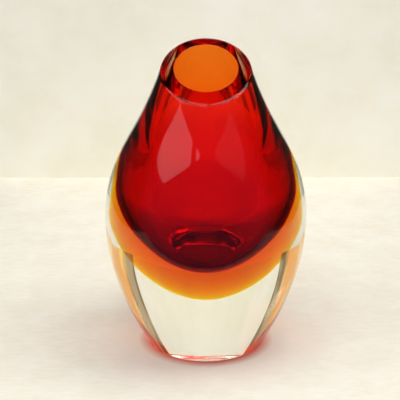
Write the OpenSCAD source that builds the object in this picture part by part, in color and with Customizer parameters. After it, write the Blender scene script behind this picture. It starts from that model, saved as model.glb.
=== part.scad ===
// Hand-blown cased glass vase. A thin ruby layer lines the well, an amber layer lies over it,
// and a heavy clear casing is gathered over both. The neck is cut off at a slant and polished.
// Millimetres. +Z is up, and the origin is the centre of the flat ground base.
// The lower lip of the slanted mouth faces -Y.

/* [Outside] */
// Diameter at the widest point of the body
belly_d = 115; // [100:1:150]
// Height of the widest point above the base
belly_z = 76; // [60:1:95]
// Diameter of the flat ground base
foot_d = 65.8; // [50:0.1:80]
// Angle at which the side leaves the base, from the horizontal
foot_angle = 58.5; // [40:0.5:70]
// How far the side runs along that angle before it curves in
foot_reach = 12; // [6:1:20]
// How far below the widest point the side is drawn upright
belly_low = 33; // [20:1:40]
// How far above the widest point the side is drawn upright
belly_high = 44; // [30:1:55]
// Radius of the round on the edge of the base
foot_round = 1.5; // [0.5:0.1:3]

/* [Neck and mouth] */
// Height at which the slanted mouth crosses the vase's axis
mouth_z = 165.5; // [135:0.5:205]
// Slant of the mouth, its -Y side low
mouth_slant = 25; // [0:1:30]
// Height of the neck left above that crossing, for the slanted cut to be taken from
neck_spare = 20; // [20:1:30]
// Outside diameter at the top of the uncut neck
neck_d = 39; // [34:1:50]
// Lean of the neck's side, from the vertical
neck_lean = 12.5; // [5:0.5:20]
// How far the neck's side runs along that lean before it curves out
neck_reach = 63; // [45:1:70]
// Thickness of the whole wall at the mouth, all three layers together
neck_wall = 6.5; // [5:0.1:10]

/* [Clear casing] */
// Thickness of the clear casing at the widest point
casing_wall = 21.2; // [16:0.1:26]
// Thickness of the clear glass under the amber layer
casing_base = 38.5; // [30:0.5:48]

/* [Amber layer] */
// Thickness of the amber layer at the side
amber_wall = 1.2; // [0.8:0.1:3]
// Thickness of the amber layer under the well
amber_base = 14.2; // [8:0.1:18]
// Thickness of the amber layer at the mouth
amber_neck = 0.6; // [0.4:0.1:1.2]

/* [Ruby layer] */
// Thickness of the ruby layer at the side
ruby_wall = 2; // [1:0.1:3]
// Thickness of the ruby layer under the well
ruby_base = 3.2; // [1.5:0.1:5]
// Thickness of the ruby layer at the mouth
ruby_neck = 0.6; // [0.4:0.1:1.2]

/* [Shape of the well and its layers] */
// Height from a layer's floor to its widest point
cup_rise = 34; // [28:1:40]
// How far a layer's floor runs out level before it curves up
cup_reach = 18.5; // [14:0.5:22]
// How far below its widest point a layer's side is drawn upright
cup_low = 9.5; // [5:0.5:14]
// How far above its widest point the well's side is drawn upright
cup_high = 38; // [30:1:46]

/* [Smoothness] */
// Straight pieces in each curve of a profile
steps = 20; // [12:1:32]

/* [Hidden] */

belly_r = belly_d / 2;
foot_r = foot_d / 2;
neck_r = neck_d / 2;
neck_top_z = mouth_z + neck_spare;

// Each layer's outer face: its floor height, and its radius at the side and at the top of the neck.
amber_floor = casing_base;
ruby_floor = amber_floor + amber_base;
well_floor = ruby_floor + ruby_base;
amber_r = belly_r - casing_wall;
ruby_r = amber_r - amber_wall;
well_r = ruby_r - ruby_wall;
well_neck_r = neck_r - neck_wall;
ruby_neck_r = well_neck_r + ruby_neck;
amber_neck_r = ruby_neck_r + amber_neck;

// Every layer stands upright from its own widest point to the well's, and from there they all turn
// in towards the neck together, so each layer's wall runs evenly from its side to the mouth.
cup_side_z = well_floor + cup_rise;
cup_shoulder_z = cup_side_z + cup_high;

cut_size = 2 * belly_d;
round_steps = 4;
round_pull = 2 / 3;
around = 180;

// A point on the cubic curve from a to d that is drawn towards b and c, t from 0 to 1.
function cubic_point(a, b, c, d, t) =
    a * pow(1 - t, 3) + b * 3 * t * pow(1 - t, 2) + c * 3 * t * t * (1 - t) + d * pow(t, 3);

// The points of such a curve, without its first one.
function cubic(a, b, c, d, n) = [for (i = [1:n]) cubic_point(a, b, c, d, i / n)];

// The neck's side from the widest point, at radius r and height z, to radius top_r at the neck's top.
function neck_side(r, z, upright_z, top_r) =
    cubic(
        [r, z],
        [r, upright_z],
        [top_r + neck_reach * sin(neck_lean), neck_top_z - neck_reach * cos(neck_lean)],
        [top_r, neck_top_z],
        steps
    );

// The rounded edge of the base, from the ground face to the start of the side.
function foot_edge() =
    let (
        flat_end = [foot_r - foot_round, 0],
        corner = [foot_r, 0],
        side_start = corner + foot_round * foot_direction()
    )
    concat(
        [flat_end],
        cubic(flat_end, towards(flat_end, corner), towards(side_start, corner), side_start, round_steps)
    );

// The handle that rounds a corner off from one of its ends.
function towards(end, corner) = end + (corner - end) * round_pull;

function foot_direction() = [cos(foot_angle), sin(foot_angle)];

// The outside of the vase, from the centre of the base to the top of the uncut neck.
function outside_line() =
    let (
        foot = [foot_r, 0],
        side_start = foot + foot_round * foot_direction(),
        side_lean = foot + foot_reach * foot_direction()
    )
    concat(
        [[0, 0]],
        foot_edge(),
        cubic(side_start, side_lean, [belly_r, belly_z - belly_low], [belly_r, belly_z], steps),
        neck_side(belly_r, belly_z, belly_z + belly_high, neck_r)
    );

// The face between two layers, or the well itself, from its floor on the axis to the neck's top.
function cup_line(floor_z, side_r, top_r) =
    let (side_z = floor_z + cup_rise)
    concat(
        [[0, floor_z]],
        cubic([0, floor_z], [cup_reach, floor_z], [side_r, side_z - cup_low], [side_r, side_z], steps),
        floor_z < well_floor ? [[side_r, cup_side_z]] : [],
        neck_side(side_r, cup_side_z, cup_shoulder_z, top_r)
    );

function reversed(points) = [for (i = [len(points) - 1:-1:0]) points[i]];

// Everything above the slanted mouth.
module above_mouth() {
    translate([0, 0, mouth_z])
        rotate([mouth_slant, 0, 0])
            translate([-cut_size / 2, -cut_size / 2, 0])
                cube(cut_size);
}

// One layer of glass, turned from the section between its outer and its inner line.
module glass_layer(outer_line, inner_line) {
    difference() {
        rotate_extrude($fn = around)
            polygon(concat(outer_line, reversed(inner_line)));
        above_mouth();
    }
}

module clear_outer_casing() {
    color([0.90, 0.93, 0.86, 0.35])
        glass_layer(outside_line(), cup_line(amber_floor, amber_r, amber_neck_r));
}

module amber_middle_layer() {
    color([0.95, 0.62, 0.05])
        glass_layer(
            cup_line(amber_floor, amber_r, amber_neck_r),
            cup_line(ruby_floor, ruby_r, ruby_neck_r)
        );
}

module ruby_inner_layer() {
    color([0.80, 0.03, 0.05])
        glass_layer(
            cup_line(ruby_floor, ruby_r, ruby_neck_r),
            cup_line(well_floor, well_r, well_neck_r)
        );
}

clear_outer_casing();
amber_middle_layer();
ruby_inner_layer();
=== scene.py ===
"""Hand-blown cased glass vase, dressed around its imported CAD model.

The vase is clear glass over amber over ruby, fused into one heavy body with a slanted mouth.
Fused layers have no surface of their own, so the clear glass carries every face that meets the
air, outside and in the well, and the amber and ruby lie in it as bodies of colour.
"""

from __future__ import annotations

import logging
import math
from dataclasses import dataclass
from enum import Enum

import bpy
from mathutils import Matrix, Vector

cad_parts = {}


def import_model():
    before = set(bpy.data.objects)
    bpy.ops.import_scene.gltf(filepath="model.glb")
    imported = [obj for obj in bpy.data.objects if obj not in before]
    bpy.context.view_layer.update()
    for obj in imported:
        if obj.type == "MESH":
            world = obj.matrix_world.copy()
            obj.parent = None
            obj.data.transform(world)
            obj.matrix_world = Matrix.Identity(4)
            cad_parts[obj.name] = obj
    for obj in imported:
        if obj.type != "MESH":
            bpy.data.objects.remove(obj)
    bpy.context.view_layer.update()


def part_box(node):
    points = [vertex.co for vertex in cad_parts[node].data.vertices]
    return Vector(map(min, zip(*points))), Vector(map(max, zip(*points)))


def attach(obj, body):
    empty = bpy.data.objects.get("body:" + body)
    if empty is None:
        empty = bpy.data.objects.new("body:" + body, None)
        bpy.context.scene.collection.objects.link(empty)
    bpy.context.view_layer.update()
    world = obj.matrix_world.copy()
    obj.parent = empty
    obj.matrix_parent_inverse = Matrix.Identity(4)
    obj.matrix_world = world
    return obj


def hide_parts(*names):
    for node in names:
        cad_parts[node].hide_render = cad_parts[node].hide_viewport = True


log = logging.getLogger("vase")

MM = 0.001
# The slow waves of hand-shaped glass, in millimetres. All three pieces share them.
WAVE_HEIGHT = 0.35
WAVE_LENGTH = 26.0

Socket = bpy.types.NodeSocket
Point = tuple[float, float]
Colour = tuple[float, float, float]


class Layer(Enum):
    """The three gathers of glass, by the name of their CAD node."""

    CLEAR = "clear_outer_casing"
    AMBER = "amber_middle_layer"
    RUBY = "ruby_inner_layer"


PIECE_NAMES = {
    Layer.CLEAR: "clear_glass_body",
    Layer.AMBER: "amber_glass_layer",
    Layer.RUBY: "ruby_glass_layer",
}


# ---------------------------------------------------------------------------------- the profile


@dataclass(frozen=True)
class Knot:
    """A point of a profile with its two curve handles, as (radius, height) in millimetres."""

    point: Point
    before: Point
    after: Point


def towards(end: Point, corner: Point) -> Point:
    """The handle that rounds a corner off from one of its ends, two thirds of the way to it."""
    return tuple(a + (b - a) * 2 / 3 for a, b in zip(end, corner))


@dataclass(frozen=True)
class VaseSizes:
    """The vase's driving sizes in millimetres, the same as the CAD model's.

    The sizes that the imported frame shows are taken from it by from_frame().
    """

    belly_r: float
    amber_r: float
    ruby_r: float
    amber_floor: float
    ruby_floor: float
    belly_z: float = 76.0
    foot_r: float = 32.9
    foot_angle: float = 58.5
    foot_reach: float = 12.0
    foot_round: float = 1.5
    belly_low: float = 33.0
    belly_high: float = 44.0
    mouth_z: float = 165.5
    mouth_slant: float = 25.0
    neck_spare: float = 20.0
    neck_r: float = 19.5
    neck_lean: float = 12.5
    neck_reach: float = 63.0
    neck_wall: float = 6.5
    amber_neck: float = 0.6
    ruby_neck: float = 0.6
    ruby_wall: float = 2.0
    ruby_base: float = 3.2
    cup_rise: float = 34.0
    cup_reach: float = 18.5
    cup_low: float = 9.5
    cup_high: float = 38.0

    @classmethod
    def from_frame(cls) -> VaseSizes:
        """Reads the belly, the layers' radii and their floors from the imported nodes' boxes.

        Returns:
            The vase's sizes.
        """
        radius: dict[Layer, float] = {}
        floor: dict[Layer, float] = {}
        for layer in Layer:
            low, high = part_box(layer.value)
            radius[layer] = (high[0] - low[0]) / 2 / MM
            floor[layer] = low[2] / MM
        return cls(
            belly_r=radius[Layer.CLEAR],
            amber_r=radius[Layer.AMBER],
            ruby_r=radius[Layer.RUBY],
            amber_floor=floor[Layer.AMBER],
            ruby_floor=floor[Layer.RUBY],
        )

    @property
    def neck_top(self) -> float:
        """Height of the neck before its slanted cut."""
        return self.mouth_z + self.neck_spare

    @property
    def well_floor(self) -> float:
        """Height of the floor of the well."""
        return self.ruby_floor + self.ruby_base

    @property
    def shoulder(self) -> float:
        """Height to which the sides of the well and its layers are drawn upright."""
        return self.well_floor + self.cup_rise + self.cup_high

    def lean(self, top_r: float) -> Point:
        """The handle that leans the neck's side out below its top.

        Args:
            top_r: Radius at the neck's top.

        Returns:
            The handle's radius and height.
        """
        tilt = math.radians(self.neck_lean)
        out, down = self.neck_reach * math.sin(tilt), self.neck_reach * math.cos(tilt)
        return top_r + out, self.neck_top - down

    def outside(self) -> list[Knot]:
        """The outside of the vase, from the centre of the base to the top of the uncut neck."""
        tilt = math.radians(self.foot_angle)
        flat_end = (self.foot_r - self.foot_round, 0.0)
        corner = (self.foot_r, 0.0)
        side, side_lean = (
            (self.foot_r + run * math.cos(tilt), run * math.sin(tilt))
            for run in (self.foot_round, self.foot_reach)
        )
        belly = (self.belly_r, self.belly_z)
        belly_below = (self.belly_r, self.belly_z - self.belly_low)
        belly_above = (self.belly_r, self.belly_z + self.belly_high)
        top = (self.neck_r, self.neck_top)
        return [
            Knot((0.0, 0.0), (0.0, 0.0), (flat_end[0] / 3, 0.0)),
            Knot(flat_end, (flat_end[0] * 2 / 3, 0.0), towards(flat_end, corner)),
            Knot(side, towards(side, corner), side_lean),
            Knot(belly, belly_below, belly_above),
            Knot(top, self.lean(self.neck_r), top),
        ]

    def cup(self, floor: float, side_r: float, top_r: float, grow: float) -> list[Knot]:
        """The well, or the outer face of a layer around it, from its floor to the neck's top.

        Args:
            floor: Height of its floor on the axis.
            side_r: Radius at its widest point.
            top_r: Radius at the neck's top.
            grow: How far the whole face is moved out, or in where it is negative.

        Returns:
            The knots of the line.
        """
        base, side, top = floor - grow, side_r + grow, top_r + grow
        widest, upright_to = floor + self.cup_rise, self.well_floor + self.cup_rise
        below = (side, widest - self.cup_low)
        shoulder = (side, self.shoulder)
        line = [Knot((0.0, base), (0.0, base), (self.cup_reach, base))]
        if widest < upright_to:
            third = (upright_to - widest) / 3
            line.append(Knot((side, widest), below, (side, widest + third)))
            below = (side, upright_to - third)
        line.append(Knot((side, upright_to), below, shoulder))
        line.append(Knot((top, self.neck_top), self.lean(top), (top, self.neck_top)))
        return line

    @property
    def well_neck_r(self) -> float:
        """Radius of the well at the neck's top."""
        return self.neck_r - self.neck_wall

    def well(self, grow: float = 0.0) -> list[Knot]:
        """The wall of the well, moved out by grow."""
        return self.cup(self.well_floor, self.ruby_r - self.ruby_wall, self.well_neck_r, grow)

    def ruby(self, grow: float = 0.0) -> list[Knot]:
        """The outer face of the ruby layer, moved out by grow."""
        return self.cup(self.ruby_floor, self.ruby_r, self.well_neck_r + self.ruby_neck, grow)

    def amber(self, grow: float = 0.0) -> list[Knot]:
        """The outer face of the amber layer, moved out by grow."""
        top_r = self.well_neck_r + self.ruby_neck + self.amber_neck
        return self.cup(self.amber_floor, self.amber_r, top_r, grow)


def draw_line(name: str, knots: list[Knot]) -> bpy.types.Object:
    """Draws a profile as a curve in the XZ plane.

    Args:
        name: Name of the curve.
        knots: Its knots, in millimetres.

    Returns:
        The curve's object, linked to the scene so that the turning tree can read it.
    """
    curve = bpy.data.curves.new(name, "CURVE")
    curve.dimensions = "3D"
    curve.resolution_u = 64
    spline = curve.splines.new("BEZIER")
    spline.bezier_points.add(len(knots) - 1)
    for drawn, knot in zip(spline.bezier_points, knots):
        drawn.handle_left_type = drawn.handle_right_type = "FREE"
        drawn.co, drawn.handle_left, drawn.handle_right = (
            Vector((at[0] * MM, 0.0, at[1] * MM)) for at in (knot.point, knot.before, knot.after)
        )
    line = bpy.data.objects.new(name, curve)
    bpy.context.scene.collection.objects.link(line)
    return line


# ------------------------------------------------------------------------------ the turning tree


class TreeSketch:
    """A short way to write a node tree: each call adds a node and returns the socket it gives."""

    def __init__(self, tree: bpy.types.NodeTree) -> None:
        """Keeps the tree that the nodes are added to."""
        self.tree = tree

    def node(self, kind: str, **settings: object) -> bpy.types.Node:
        """Adds a node.

        Args:
            kind: The node's type name.
            settings: Properties to set on it.

        Returns:
            The node.
        """
        made = self.tree.nodes.new(kind)
        for name, value in settings.items():
            setattr(made, name, value)
        return made

    def feed(self, socket: Socket, value: Socket | float | tuple | str) -> None:
        """Links a socket to another, or sets its value.

        Args:
            socket: The input to feed.
            value: An output socket or a plain value.
        """
        if isinstance(value, bpy.types.NodeSocket):
            self.tree.links.new(value, socket)
        else:
            socket.default_value = value

    def math(self, operation: str, a: Socket | float, b: Socket | float = 0.0) -> Socket:
        """A Math node's result.

        Args:
            operation: The node's operation.
            a: First number.
            b: Second number.

        Returns:
            The result's socket.
        """
        made = self.node("ShaderNodeMath", operation=operation)
        self.feed(made.inputs[0], a)
        self.feed(made.inputs[1], b)
        return made.outputs[0]

    def total(self, *terms: Socket | float) -> Socket:
        """The sum of two or more numbers.

        Args:
            terms: The numbers.

        Returns:
            The sum's socket.
        """
        made = self.math("ADD", terms[0], terms[1])
        for term in terms[2:]:
            made = self.math("ADD", made, term)
        return made

    def times(self, a: Socket | float, b: Socket | float) -> Socket:
        """The product of two numbers."""
        return self.math("MULTIPLY", a, b)

    def less(self, a: Socket | float, b: Socket | float) -> Socket:
        """A number less another."""
        return self.math("SUBTRACT", a, b)

    def vector_math(self, operation: str, a: Socket | tuple, b: Socket | tuple) -> Socket:
        """A Vector Math node's vector.

        Args:
            operation: The node's operation.
            a: First vector.
            b: Second vector.

        Returns:
            The result's socket.
        """
        made = self.node("ShaderNodeVectorMath", operation=operation)
        self.feed(made.inputs[0], a)
        self.feed(made.inputs[1], b)
        return made.outputs[0]

    def scaled(self, vector: Socket, by: Socket | float) -> Socket:
        """A vector times a number."""
        made = self.node("ShaderNodeVectorMath", operation="SCALE")
        self.feed(made.inputs[0], vector)
        self.feed(made.inputs["Scale"], by)
        return made.outputs[0]

    def combine(self, x: Socket | float, y: Socket | float, z: Socket | float) -> Socket:
        """A vector from three numbers."""
        made = self.node("ShaderNodeCombineXYZ")
        for socket, value in zip(made.inputs, (x, y, z)):
            self.feed(socket, value)
        return made.outputs[0]

    def blend(self, t: Socket, a: Socket, b: Socket) -> Socket:
        """The point a share t of the way from a to b."""
        return self.vector_math("ADD", a, self.scaled(self.vector_math("SUBTRACT", b, a), t))

    def mix(self, t: Socket, a: Socket | Colour, b: Socket | Colour) -> Socket:
        """A colour a share t of the way from a to b."""
        made = self.node("ShaderNodeMixRGB")
        self.feed(made.inputs[0], t)
        for socket, colour in zip(list(made.inputs)[1:], (a, b)):
            self.feed(socket, (*colour, 1.0) if isinstance(colour, tuple) else colour)
        return made.outputs["Color"]

    def noise(
        self, place: Socket, scale: Socket | float, detail: float, rough: float = 0.5
    ) -> Socket:
        """A Noise Texture's value.

        Args:
            place: Where it is read.
            scale: Its scale.
            detail: How many finer layers it has.
            rough: How strong they are.

        Returns:
            The value's socket, from 0 to 1.
        """
        made = self.node("ShaderNodeTexNoise")
        self.feed(made.inputs["Vector"], place)
        self.feed(made.inputs["Scale"], scale)
        self.feed(made.inputs["Detail"], detail)
        self.feed(made.inputs["Roughness"], rough)
        return made.outputs[0]

    def stretched(self, place: Socket, scale: tuple[float, float, float]) -> Socket:
        """A place scaled by its own amount along each axis."""
        made = self.node("ShaderNodeMapping")
        self.feed(made.inputs["Vector"], place)
        self.feed(made.inputs["Scale"], scale)
        return made.outputs["Vector"]

    def share(self, value: Socket, low: Socket | float, high: Socket | float) -> Socket:
        """How far value lies from low to high, kept within 0 and 1."""
        made = self.node("ShaderNodeMapRange", clamp=True)
        self.feed(made.inputs["Value"], value)
        self.feed(made.inputs["From Min"], low)
        self.feed(made.inputs["From Max"], high)
        return made.outputs["Result"]


@dataclass(frozen=True)
class Rows:
    """How many rows of faces each stretch of a turned piece has, and how many columns it has."""

    flat: int
    edge: int
    side: int
    arris: int
    rim: int
    well: int
    columns: int


class TurningTree:
    """Geometry Nodes that turn an outer and an inner line about Z and cut both at a slant.

    Every column of the mesh runs up the outer line to the slanted mouth, over a rounded arris,
    across the mouth's face, over the inner arris and down the inner line to its floor.
    """

    LINES = ("Outer Line", "Inner Line")
    LENGTHS = (
        "Mouth Height",
        "Mouth Slant",
        "Outer Arris",
        "Inner Arris",
        "Flat Length",
        "Edge Length",
        "Wave Height",
        "Wave Scale",
    )
    STRETCHES = (
        "Flat Rows",
        "Edge Rows",
        "Side Rows",
        "Arris Rows",
        "Rim Rows",
        "Arris Rows",
        "Well Rows",
    )
    COUNTS = (*dict.fromkeys(STRETCHES), "Columns")
    LINE_POINTS = 800
    RIBBON_WIDTH = 0.02
    RIBBON_START = -0.008
    MERGE_WITHIN = 1e-6
    WAVES_BEGIN_BY = 0.008
    WAVE_HEIGHT_SHARE = 0.6

    def __init__(self) -> None:
        """Builds the tree."""
        self.tree = bpy.data.node_groups.new("turned_glass", "GeometryNodeTree")
        self.sketch = TreeSketch(self.tree)
        face = self.tree.interface
        for name in self.LINES:
            face.new_socket(name, in_out="INPUT", socket_type="NodeSocketObject")
        for name in self.LENGTHS:
            face.new_socket(name, in_out="INPUT", socket_type="NodeSocketFloat")
        for name in self.COUNTS:
            face.new_socket(name, in_out="INPUT", socket_type="NodeSocketInt")
        face.new_socket("Material", in_out="INPUT", socket_type="NodeSocketMaterial")
        face.new_socket("Geometry", in_out="OUTPUT", socket_type="NodeSocketGeometry")
        self.given = self.sketch.node("NodeGroupInput").outputs
        self._build()

    def _profile(self, line: str) -> Socket:
        """A line's curve, evenly resampled, with each point's length along it stored as "along".

        Args:
            line: Name of the object input that holds it.

        Returns:
            The curve's socket.
        """
        s = self.sketch
        info = s.node("GeometryNodeObjectInfo")
        s.feed(info.inputs["Object"], self.given[line])
        even = s.node("GeometryNodeResampleCurve")
        s.feed(even.inputs["Curve"], info.outputs["Geometry"])
        s.feed(even.inputs["Count"], self.LINE_POINTS)
        store = s.node("GeometryNodeStoreNamedAttribute", data_type="FLOAT", domain="POINT")
        s.feed(store.inputs["Geometry"], even.outputs["Curve"])
        s.feed(store.inputs["Name"], "along")
        s.feed(store.inputs["Value"], s.node("GeometryNodeSplineParameter").outputs["Length"])
        return store.outputs["Geometry"]

    def _lip(self, curve: Socket, slope: Socket) -> tuple[Socket, Socket]:
        """Where a line meets the slanted mouth, for a column whose mouth climbs at slope.

        The line is drawn out sideways into a ribbon, and a ray along the mouth finds it.

        Args:
            curve: The line.
            slope: Rise of the mouth per unit of radius in the column's own half plane.

        Returns:
            The length along the line at the lip, and the lip's point.
        """
        s = self.sketch
        mesh = s.node("GeometryNodeCurveToMesh")
        s.feed(mesh.inputs["Curve"], curve)
        back = s.node("GeometryNodeSetPosition")
        s.feed(back.inputs["Geometry"], mesh.outputs["Mesh"])
        s.feed(back.inputs["Offset"], (0.0, self.RIBBON_START, 0.0))
        ribbon = s.node("GeometryNodeExtrudeMesh", mode="EDGES")
        s.feed(ribbon.inputs["Mesh"], back.outputs["Geometry"])
        s.feed(ribbon.inputs["Offset"], s.combine(0.0, self.RIBBON_WIDTH, 0.0))
        s.feed(ribbon.inputs["Offset Scale"], 1.0)
        along = s.node("GeometryNodeInputNamedAttribute", data_type="FLOAT")
        s.feed(along.inputs["Name"], "along")
        ray = s.node("GeometryNodeRaycast", data_type="FLOAT", mapping="INTERPOLATED")
        s.feed(ray.inputs["Target Geometry"], ribbon.outputs["Mesh"])
        s.feed(ray.inputs["Attribute"], along.outputs["Attribute"])
        s.feed(ray.inputs["Source Position"], s.combine(0.0, 0.0, self.given["Mouth Height"]))
        s.feed(ray.inputs["Ray Direction"], s.combine(1.0, 0.0, slope))
        s.feed(ray.inputs["Ray Length"], 1.0)
        return ray.outputs["Attribute"], ray.outputs["Hit Position"]

    def _at(self, curve: Socket, length: Socket) -> Socket:
        """The point of a line at a length along it.

        Args:
            curve: The line.
            length: Length from its start.

        Returns:
            The point's socket.
        """
        s = self.sketch
        sample = s.node("GeometryNodeSampleCurve", mode="LENGTH", use_all_curves=True)
        s.feed(sample.inputs["Curves"], curve)
        s.feed(sample.inputs["Length"], length)
        return sample.outputs["Position"]

    def _round(self, t: Socket, start: Socket, corner: Socket, end: Socket) -> Socket:
        """A point of the round that replaces a corner, t from 0 at start to 1 at end."""
        s = self.sketch
        return s.blend(t, s.blend(t, start, corner), s.blend(t, corner, end))

    def _stretches(self, row: Socket, ends: list[Socket]) -> list[Socket]:
        """How far each row is through each stretch of the column, from 0 to 1.

        Args:
            row: The row's number.
            ends: The number of the last row of each stretch.

        Returns:
            One socket each for the flat, edge, side, outer arris, rim, inner arris and well.
        """
        starts = [0.0, *ends[:-1]]
        return [self.sketch.share(row, start, end) for start, end in zip(starts, ends)]

    def _build(self) -> None:
        """Adds the tree's nodes."""
        s, given = self.sketch, self.given
        ends: list[Socket] = []
        for rows in self.STRETCHES:
            ends.append(s.total(ends[-1] if ends else 0.0, given[rows]))
        last = ends[-1]
        grid = s.node("GeometryNodeMeshGrid")
        s.feed(grid.inputs["Vertices X"], s.total(given["Columns"], 1.0))
        s.feed(grid.inputs["Vertices Y"], s.total(last, 1.0))
        split = s.node("ShaderNodeSeparateXYZ")
        s.feed(split.inputs[0], grid.outputs["UV Map"])
        row = s.math("ROUND", s.times(split.outputs["Y"], last))
        angle = s.times(split.outputs["X"], math.tau)
        sine, cosine = s.math("SINE", angle), s.math("COSINE", angle)
        slope = s.times(s.math("TANGENT", given["Mouth Slant"]), sine)

        outer, inner = (self._profile(line) for line in self.LINES)
        outer_length, outer_lip = self._lip(outer, slope)
        inner_length, inner_lip = self._lip(inner, slope)
        flat, edge, side, arris, rim, inner_arris, well = self._stretches(row, ends)

        outer_end = s.less(outer_length, given["Outer Arris"])
        inner_end = s.less(inner_length, given["Inner Arris"])
        foot_end = s.total(given["Flat Length"], given["Edge Length"])
        up_length = s.total(
            s.times(flat, given["Flat Length"]),
            s.times(edge, given["Edge Length"]),
            s.times(side, s.less(outer_end, foot_end)),
        )
        down_length = s.times(s.less(1.0, well), inner_end)

        inwards = s.node("ShaderNodeVectorMath", operation="NORMALIZE")
        s.feed(inwards.inputs[0], s.vector_math("SUBTRACT", inner_lip, outer_lip))
        across = inwards.outputs[0]
        rim_start = s.vector_math("ADD", outer_lip, s.scaled(across, given["Outer Arris"]))
        rim_end = s.vector_math("SUBTRACT", inner_lip, s.scaled(across, given["Inner Arris"]))
        points = [
            self._at(outer, up_length),
            self._round(arris, self._at(outer, outer_end), outer_lip, rim_start),
            s.blend(rim, rim_start, rim_end),
            self._round(inner_arris, rim_end, inner_lip, self._at(inner, inner_end)),
            self._at(inner, down_length),
        ]
        # Each stretch that a row has entered moves it on to the next of the points above.
        stretch: Socket | float = 0.0
        for entered in (arris, rim, inner_arris, well):
            stretch = s.total(stretch, s.math("GREATER_THAN", entered, 0.0))
        pick = s.node("GeometryNodeIndexSwitch", data_type="VECTOR")
        while len(pick.index_switch_items) < len(points):
            pick.index_switch_items.new()
        s.feed(pick.inputs["Index"], stretch)
        for socket, point in zip(list(pick.inputs)[1:], points):
            s.feed(socket, point)

        half_plane = s.node("ShaderNodeSeparateXYZ")
        s.feed(half_plane.inputs[0], pick.outputs[0])
        height = half_plane.outputs["Z"]
        radius = self._waved(half_plane.outputs["X"], height, sine, cosine)
        turned = s.combine(s.times(radius, cosine), s.times(radius, sine), height)
        place = s.node("GeometryNodeSetPosition")
        s.feed(place.inputs["Geometry"], grid.outputs["Mesh"])
        s.feed(place.inputs["Position"], turned)
        close = s.node("GeometryNodeMergeByDistance")
        s.feed(close.inputs["Geometry"], place.outputs["Geometry"])
        s.feed(close.inputs["Distance"], self.MERGE_WITHIN)
        smooth = s.node("GeometryNodeSetShadeSmooth")
        s.feed(smooth.inputs["Geometry"], close.outputs["Geometry"])
        real = s.node("GeometryNodeRealizeInstances")
        s.feed(real.inputs["Geometry"], smooth.outputs["Geometry"])
        dress = s.node("GeometryNodeSetMaterial")
        s.feed(dress.inputs["Geometry"], real.outputs["Geometry"])
        s.feed(dress.inputs["Material"], given["Material"])
        out = s.node("NodeGroupOutput")
        s.feed(out.inputs["Geometry"], dress.outputs["Geometry"])

    def _waved(self, radius: Socket, height: Socket, sine: Socket, cosine: Socket) -> Socket:
        """The radius with the slow waves that hand tools leave, none of them on the axis.

        Args:
            radius: Radius of the true form.
            height: Height of the point.
            sine: Sine of the column's angle.
            cosine: Cosine of the column's angle.

        Returns:
            The waved radius.
        """
        s = self.sketch
        place = s.combine(
            s.times(radius, cosine), s.times(radius, sine), s.times(height, self.WAVE_HEIGHT_SHARE)
        )
        wave = s.noise(place, self.given["Wave Scale"], detail=1.0)
        rise = s.times(s.less(wave, 0.5), self.given["Wave Height"])
        return s.total(radius, s.times(rise, s.share(radius, 0.0, self.WAVES_BEGIN_BY)))

    def turn(self, name: str, values: dict[str, object]) -> bpy.types.Object:
        """Runs the tree with its inputs set and keeps the result as a plain mesh object.

        Args:
            name: Name of the piece.
            values: A value for each named input.

        Returns:
            The piece, at the origin.
        """
        holder = bpy.data.objects.new(name + "_blank", bpy.data.meshes.new(name + "_blank"))
        bpy.context.scene.collection.objects.link(holder)
        modifier = holder.modifiers.new("turn", "NODES")
        modifier.node_group = self.tree
        for item in self.tree.interface.items_tree:
            if item.in_out == "INPUT":
                modifier[item.identifier] = values[item.name]
        depsgraph = bpy.context.evaluated_depsgraph_get()
        mesh = bpy.data.meshes.new_from_object(holder.evaluated_get(depsgraph))
        mesh.name = name
        bpy.data.objects.remove(holder)
        piece = bpy.data.objects.new(name, mesh)
        bpy.context.scene.collection.objects.link(piece)
        return piece


# ------------------------------------------------------------------------------------- finishes


@dataclass(frozen=True)
class GlassFinish:
    """A glass: how it bends light, what it takes of each colour, and how brightly it mirrors.

    The amber and ruby lie fused in the clear glass, so they bend light no further themselves.
    """

    name: str
    tint: Colour
    bend: float
    depth_colour: Colour
    depth_density: float
    shine: float = 1.0

    def material(self) -> bpy.types.Material:
        """Builds the glass.

        Returns:
            The material.
        """
        made = bpy.data.materials.new(self.name)
        made.use_nodes = True
        s = TreeSketch(made.node_tree)
        made.node_tree.nodes.clear()
        shader = s.node("ShaderNodeBsdfPrincipled")
        s.feed(shader.inputs["Base Color"], (*self.tint, 1.0))
        s.feed(shader.inputs["Transmission Weight"], 1.0)
        s.feed(shader.inputs["Roughness"], 0.0)
        s.feed(shader.inputs["IOR"], self.bend)
        s.feed(shader.inputs["Specular Tint"], (self.shine, self.shine, self.shine, 1.0))
        depth = s.node("ShaderNodeVolumeAbsorption")
        s.feed(depth.inputs["Color"], (*self.depth_colour, 1.0))
        s.feed(depth.inputs["Density"], self.depth_density)
        out = s.node("ShaderNodeOutputMaterial")
        s.feed(out.inputs["Surface"], shader.outputs["BSDF"])
        s.feed(out.inputs["Volume"], depth.outputs["Volume"])
        return made


CLEAR_GLASS = GlassFinish(
    "clear_glass",
    tint=(1.0, 1.0, 1.0),
    bend=1.5,
    depth_colour=(0.85, 0.85, 0.66),
    depth_density=3.0,
    shine=0.45,
)
AMBER_GLASS = GlassFinish(
    "amber_glass",
    tint=(1.0, 0.98, 0.70),
    bend=1.0,
    depth_colour=(0.985, 0.875, 0.0),
    depth_density=400.0,
)
RUBY_GLASS = GlassFinish(
    "ruby_glass",
    tint=(1.0, 0.40, 0.12),
    bend=1.0,
    depth_colour=(0.962, 0.60, 0.0),
    depth_density=3200.0,
)


@dataclass(frozen=True)
class PaintedLightRing:
    """A ring of painted light on the table round the foot: colour that stands in for the coloured
    light and shade which the glass throws there.
    """

    colour: Colour
    strong_at: float
    gone_at: float


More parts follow.
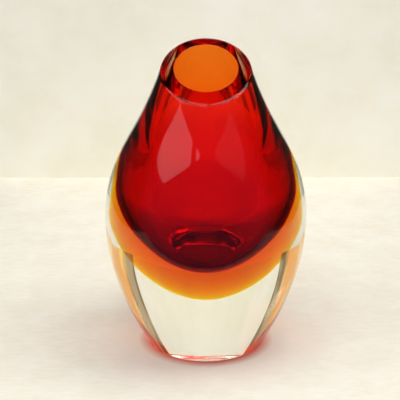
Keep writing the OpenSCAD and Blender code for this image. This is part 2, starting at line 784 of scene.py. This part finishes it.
@dataclass(frozen=True)
class MattFinish:
    """A clouded and streaked matt sheet, which glows a little in place of the room's light."""

    name: str
    pale: Colour
    deep: Colour
    glow: float
    cloud_scale: float
    streak_scale: tuple[float, float, float]
    streak_share: float
    # Rings of painted light and shade round the foot, faded in just outside the base.
    light_rings: tuple[PaintedLightRing, ...] = ()
    light_rings_between: tuple[float, float] = (0.026, 0.030)
    cloud_range: tuple[float, float] = (0.36, 0.66)
    streak_range: tuple[float, float] = (0.35, 0.65)

    def _pattern(self, s: TreeSketch, place: Socket) -> Socket:
        """The clouds and streaks.

        Args:
            s: The material's tree.
            place: Where they are read.

        Returns:
            The colour's socket.
        """
        clouds = s.noise(place, self.cloud_scale, detail=5.0, rough=0.62)
        streaks = s.noise(s.stretched(place, self.streak_scale), 1.0, detail=6.0, rough=0.7)
        mix = s.total(
            s.times(s.share(clouds, *self.cloud_range), 1.0 - self.streak_share),
            s.times(s.share(streaks, *self.streak_range), self.streak_share),
        )
        return s.mix(mix, self.deep, self.pale)

    def _with_light_rings(self, s: TreeSketch, place: Socket, colour: Socket) -> Socket:
        """The colour with the rings of painted light and shade laid over it, none of them under the
        base.

        Args:
            s: The material's tree.
            place: Where they are read.
            colour: The colour under them.

        Returns:
            The socket of the colour with the painted light and shade.
        """
        reach = s.node("ShaderNodeVectorMath", operation="LENGTH")
        s.feed(reach.inputs[0], place)
        distance = reach.outputs["Value"]
        outside = s.share(distance, *self.light_rings_between)
        # Each ring paints its coloured light and shade over the table, strongest at strong_at and
        # gone by gone_at.
        for light_ring in self.light_rings:
            near = s.share(distance, light_ring.gone_at, light_ring.strong_at)
            colour = s.mix(s.times(near, outside), colour, light_ring.colour)
        return colour

    def material(self, one_sided: bool = False) -> bpy.types.Material:
        """Builds the finish.

        Args:
            one_sided: Whether it is seen only from its front, so that it doesn't hide the vase.

        Returns:
            The material.
        """
        made = bpy.data.materials.new(self.name)
        made.use_nodes = True
        made.node_tree.nodes.clear()
        s = TreeSketch(made.node_tree)
        place = s.node("ShaderNodeTexCoord").outputs["Object"]
        colour = self._pattern(s, place)
        # The painted light and shade round the foot go over the clouds and streaks.
        if self.light_rings:
            colour = self._with_light_rings(s, place, colour)
        shader = s.node("ShaderNodeBsdfPrincipled")
        s.feed(shader.inputs["Base Color"], colour)
        s.feed(shader.inputs["Roughness"], 0.8)
        s.feed(shader.inputs["Specular IOR Level"], 0.1)
        s.feed(shader.inputs["Emission Color"], colour)
        s.feed(shader.inputs["Emission Strength"], self.glow)
        surface = shader.outputs["BSDF"]
        if one_sided:
            layers = s.node("ShaderNodeMixShader")
            s.feed(layers.inputs[0], s.node("ShaderNodeNewGeometry").outputs["Backfacing"])
            s.feed(layers.inputs[1], surface)
            s.feed(layers.inputs[2], s.node("ShaderNodeBsdfTransparent").outputs[0])
            surface = layers.outputs[0]
        s.feed(s.node("ShaderNodeOutputMaterial").inputs["Surface"], surface)
        return made


TABLE_STONE = MattFinish(
    "pale_stone",
    pale=(0.85, 0.81, 0.69),
    deep=(0.77, 0.70, 0.55),
    glow=0.08,
    cloud_scale=36.0,
    streak_scale=(110.0, 330.0, 110.0),
    streak_share=0.5,
    # Painted light and shade: a broad pinkish ring of painted shade round the foot, and a narrow
    # ring of painted red light from the ruby just outside it.
    light_rings=(
        PaintedLightRing((0.84, 0.71, 0.58), strong_at=0.030, gone_at=0.075),
        PaintedLightRing((0.72, 0.16, 0.09), strong_at=0.0315, gone_at=0.0395),
    ),
)
WALL_PLASTER = MattFinish(
    "pale_plaster",
    pale=(0.90, 0.86, 0.72),
    deep=(0.82, 0.78, 0.60),
    glow=0.17,
    cloud_scale=16.0,
    streak_scale=(40.0, 40.0, 60.0),
    streak_share=0.25,
)


# --------------------------------------------------------------------------------------- pieces


@dataclass
class TurnedPiece:
    """A piece of glass turned from two lines, and the CAD node that it stands for."""

    layer: Layer
    finish: GlassFinish
    outer: list[Knot]
    inner: list[Knot]
    mouth_z: float
    mouth_slant: float
    outer_arris: float
    inner_arris: float
    flat: float
    edge: float
    rows: Rows

    def make(self, tree: TurningTree) -> bpy.types.Object:
        """Turns the piece, dresses it and ties it to the frame.

        Args:
            tree: The turning tree.

        Returns:
            The finished piece.
        """
        name = PIECE_NAMES[self.layer]
        lines = [draw_line(name + "_outer", self.outer), draw_line(name + "_inner", self.inner)]
        values: dict[str, object] = {
            "Outer Line": lines[0],
            "Inner Line": lines[1],
            "Mouth Height": self.mouth_z * MM,
            "Mouth Slant": math.radians(self.mouth_slant),
            "Outer Arris": self.outer_arris * MM,
            "Inner Arris": self.inner_arris * MM,
            "Flat Length": self.flat * MM,
            "Edge Length": self.edge * MM,
            "Wave Height": WAVE_HEIGHT * MM,
            "Wave Scale": 1 / (WAVE_LENGTH * MM),
            "Flat Rows": self.rows.flat,
            "Edge Rows": self.rows.edge,
            "Side Rows": self.rows.side,
            "Arris Rows": self.rows.arris,
            "Rim Rows": self.rows.rim,
            "Well Rows": self.rows.well,
            "Columns": self.rows.columns,
            "Material": self.finish.material(),
        }
        piece = tree.turn(name, values)
        for line in lines:
            curve = line.data
            bpy.data.objects.remove(line)
            bpy.data.curves.remove(curve)
        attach(piece, "root")
        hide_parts(self.layer.value)
        log.info("%s: %d faces", piece.name, len(piece.data.polygons))
        return piece


@dataclass
class Vase:
    """The vase: the clear body and the two colours in it.

    The colours lie a skin's thickness inside the body's faces. The body's edge rows crowd round
    the foot, as far up the side as some multiple of its round.
    """

    sizes: VaseSizes
    skin: float = 0.05
    lip_arris: float = 1.3
    well_arris: float = 0.5
    foot_rows_reach: float = 3.5
    body_rows: Rows = Rows(flat=6, edge=24, side=130, arris=6, rim=6, well=110, columns=240)
    colour_rows: Rows = Rows(flat=2, edge=2, side=100, arris=2, rim=2, well=100, columns=192)

    def pieces(self) -> list[TurnedPiece]:
        """The pieces to turn, outside first.

        Returns:
            The clear body, the amber layer and the ruby layer.
        """
        z = self.sizes
        body = TurnedPiece(
            layer=Layer.CLEAR,
            finish=CLEAR_GLASS,
            outer=z.outside(),
            inner=z.well(),
            mouth_z=z.mouth_z,
            mouth_slant=z.mouth_slant,
            outer_arris=self.lip_arris,
            inner_arris=self.well_arris,
            flat=z.foot_r - z.foot_round,
            edge=self.foot_rows_reach * z.foot_round,
            rows=self.body_rows,
        )
        amber = self._colour(Layer.AMBER, AMBER_GLASS, z.amber(-self.skin), z.ruby(self.skin))
        ruby = self._colour(Layer.RUBY, RUBY_GLASS, z.ruby(-self.skin), z.well(self.skin))
        return [body, amber, ruby]

    def _colour(
        self, layer: Layer, finish: GlassFinish, outer: list[Knot], inner: list[Knot]
    ) -> TurnedPiece:
        """A layer of colour, kept a skin's thickness inside the clear body's faces.

        Args:
            layer: Which layer it is.
            finish: Its glass.
            outer: Its outer line.
            inner: Its inner line.

        Returns:
            The piece to turn.
        """
        return TurnedPiece(
            layer=layer,
            finish=finish,
            outer=outer,
            inner=inner,
            mouth_z=self.sizes.mouth_z - self.skin,
            mouth_slant=self.sizes.mouth_slant,
            outer_arris=self.skin,
            inner_arris=self.skin,
            flat=self.skin,
            edge=self.skin,
            rows=self.colour_rows,
        )

    def build(self) -> list[bpy.types.Object]:
        """Turns every piece and reports it.

        Returns:
            The pieces.
        """
        tree = TurningTree()
        return [piece.make(tree) for piece in self.pieces()]


# ---------------------------------------------------------------------------------------- studio


@dataclass(frozen=True)
class Skylight:
    """A pane of soft light overhead that faces down, given by its edges in metres."""

    name: str
    left: float
    right: float
    front: float
    back: float
    height: float
    brightness: float
    colour: Colour = (0.97, 0.99, 1.0)

    def build(self) -> None:
        """Adds the light."""
        data = bpy.data.lights.new(self.name, "AREA")
        data.shape = "RECTANGLE"
        data.size, data.size_y = self.right - self.left, self.back - self.front
        data.energy = self.brightness * math.pi * data.size * data.size_y
        data.color = self.colour
        light = bpy.data.objects.new(self.name, data)
        light.location = ((self.left + self.right) / 2, (self.front + self.back) / 2, self.height)
        bpy.context.scene.collection.objects.link(light)


@dataclass(frozen=True)
class Room:
    """The unseen room, as colours by the direction that a ray leaves the scene in.

    Looked at through the glass it is pale, with dark wood, sunlit patches and a red curtain behind
    the vase. Its mirror image is held back, so that only the window and the roof light gleam on the
    glass, and the bare background is plain.
    """

    walls: Colour = (0.66, 0.64, 0.58)
    plain: Colour = (0.80, 0.77, 0.68)
    wood: tuple[Colour, Colour] = ((0.20, 0.14, 0.07), (0.44, 0.33, 0.18))
    sunlit: tuple[Colour, Colour] = ((0.88, 0.36, 0.04), (0.98, 0.62, 0.17))
    curtain: tuple[Colour, Colour] = ((0.16, 0.008, 0.006), (0.70, 0.10, 0.02))
    ceiling: tuple[Colour, Colour] = ((0.08, 0.06, 0.05), (0.03, 0.025, 0.02))
    front: Colour = (0.14, 0.17, 0.32)
    patch_scale: tuple[float, float, float] = (9.0, 9.0, 2.5)
    patch_edge: tuple[float, float] = (0.47, 0.53)
    sunlit_from: tuple[float, float] = (0.65, 0.70)
    curtain_from: tuple[float, float] = (0.30, 0.36)
    behind_from: tuple[float, float] = (0.12, 0.24)
    low_to: tuple[float, float] = (0.52, 0.62)
    ceiling_from: tuple[float, float] = (0.70, 0.84)
    front_from: tuple[float, float] = (0.0, -0.5)

    def build(self) -> None:
        """Makes the room the scene's world."""
        world = bpy.data.worlds.new("room")
        world.use_nodes = True
        s = TreeSketch(world.node_tree)
        seen = s.node("ShaderNodeTexCoord").outputs["Generated"]
        split = s.node("ShaderNodeSeparateXYZ")
        s.feed(split.inputs[0], seen)
        away, up = split.outputs["Y"], split.outputs["Z"]
        aside = s.math("ABSOLUTE", split.outputs["X"])
        patches = s.noise(s.stretched(seen, self.patch_scale), 1.0, detail=2.0)
        patch = s.share(patches, *self.patch_edge)
        wood, sunlit, curtain = (
            s.mix(patch, *pair) for pair in (self.wood, self.sunlit, self.curtain)
        )
        sides = s.mix(s.share(aside, *self.sunlit_from), wood, sunlit)
        far_end = s.mix(s.share(up, *self.curtain_from), sides, curtain)
        behind, low = s.share(away, *self.behind_from), s.less(1.0, s.share(up, *self.low_to))
        through = s.mix(s.times(behind, low), self.walls, far_end)
        ceiling = s.mix(s.share(up, *self.ceiling_from), *self.ceiling)
        mirrored = s.mix(s.share(away, *self.front_from), ceiling, self.front)
        ray = s.node("ShaderNodeLightPath").outputs
        whole = s.mix(ray["Is Transmission Ray"], mirrored, through)
        whole = s.mix(ray["Is Camera Ray"], whole, self.plain)
        s.feed(world.node_tree.nodes["Background"].inputs["Color"], whole)
        bpy.context.scene.world = world


@dataclass(frozen=True)
class Studio:
    """The pale table, the backdrop, the lights, the room and the camera, in metres and degrees."""

    elevation: float = 20.0
    distance: float = 0.9
    lens: float = 142.07
    aim_z: float = 0.0861
    aside: float = -0.0033
    wall_y: float = 0.287
    wall_top: float = 0.65
    wall_left: float = -0.160
    wall_right: float = 0.150
    table_half: float = 0.35
    table_front: float = -0.16
    air_gap: float = 0.0003
    skylights: tuple[Skylight, ...] = (
        Skylight("left pane", -1.5, -0.42, -1.0, 0.15, 0.91, 2.5),
        Skylight("right pane", -0.28, 0.02, -1.0, 0.15, 0.91, 2.5),
        Skylight("shaded panes", 0.06, 1.2, -1.0, -0.35, 0.91, 0.4),
        Skylight("roof light", 0.06, 1.2, -0.34, 0.25, 0.91, 3.9),
    )

    def _sheet(self, name: str, corners: list[tuple], material: bpy.types.Material) -> None:
        """Adds a flat sheet that isn't part of the vase.

        Args:
            name: Its name.
            corners: Its corners, in order.
            material: Its material.
        """
        mesh = bpy.data.meshes.new(name)
        mesh.from_pydata(corners, [], [tuple(range(len(corners)))])
        mesh.materials.append(material)
        made = bpy.data.objects.new(name, mesh)
        bpy.context.scene.collection.objects.link(made)

    def build(self) -> None:
        """Adds the table, the backdrop, the lights, the room and the camera."""
        half, front, back, top = self.table_half, self.table_front, self.wall_y, self.wall_top
        left, right, z = self.wall_left, self.wall_right, -self.air_gap
        self._sheet(
            "table",
            [(-half, front, z), (half, front, z), (half, back, z), (-half, back, z)],
            TABLE_STONE.material(),
        )
        self._sheet(
            "backdrop",
            [(left, back, z), (right, back, z), (right, back, top), (left, back, top)],
            WALL_PLASTER.material(one_sided=True),
        )
        for skylight in self.skylights:
            skylight.build()
        Room().build()
        self._camera(Vector((0.0, 0.0, self.aim_z)))

    def _camera(self, target: Vector) -> None:
        """Adds the camera, level with its sides and tilted down at the vase.

        Args:
            target: The point on the vase's axis that it looks at.
        """
        tilt = math.radians(self.elevation)
        data = bpy.data.cameras.new("camera")
        data.lens = self.lens
        camera = bpy.data.objects.new("camera", data)
        back = Vector((0.0, -math.cos(tilt), math.sin(tilt)))
        camera.location = target + back * self.distance + Vector((self.aside, 0.0, 0.0))
        camera.rotation_euler = (-back).to_track_quat("-Z", "Y").to_euler()
        bpy.context.scene.collection.objects.link(camera)
        bpy.context.scene.camera = camera


def set_light_paths() -> None:
    """Lets light pass through all the layers of glass, and shows colours as they are."""
    scene = bpy.context.scene
    scene.cycles.max_bounces = 128
    scene.cycles.transmission_bounces = 128
    scene.cycles.glossy_bounces = 12
    scene.cycles.transparent_max_bounces = 16
    scene.view_settings.view_transform = "Standard"


def corners(box: tuple[Vector, Vector]) -> list[list[float]]:
    """A box's two corners as plain lists of numbers."""
    return [list(corner) for corner in box]


def main() -> None:
    """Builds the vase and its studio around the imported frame."""
    logging.basicConfig(level=logging.INFO, format="%(name)s: %(message)s")
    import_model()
    sizes = VaseSizes.from_frame()
    for piece in Vase(sizes).build():
        log.info("built %s", piece.name)
    Studio().build()
    set_light_paths()


if __name__ == "__main__":
    main()
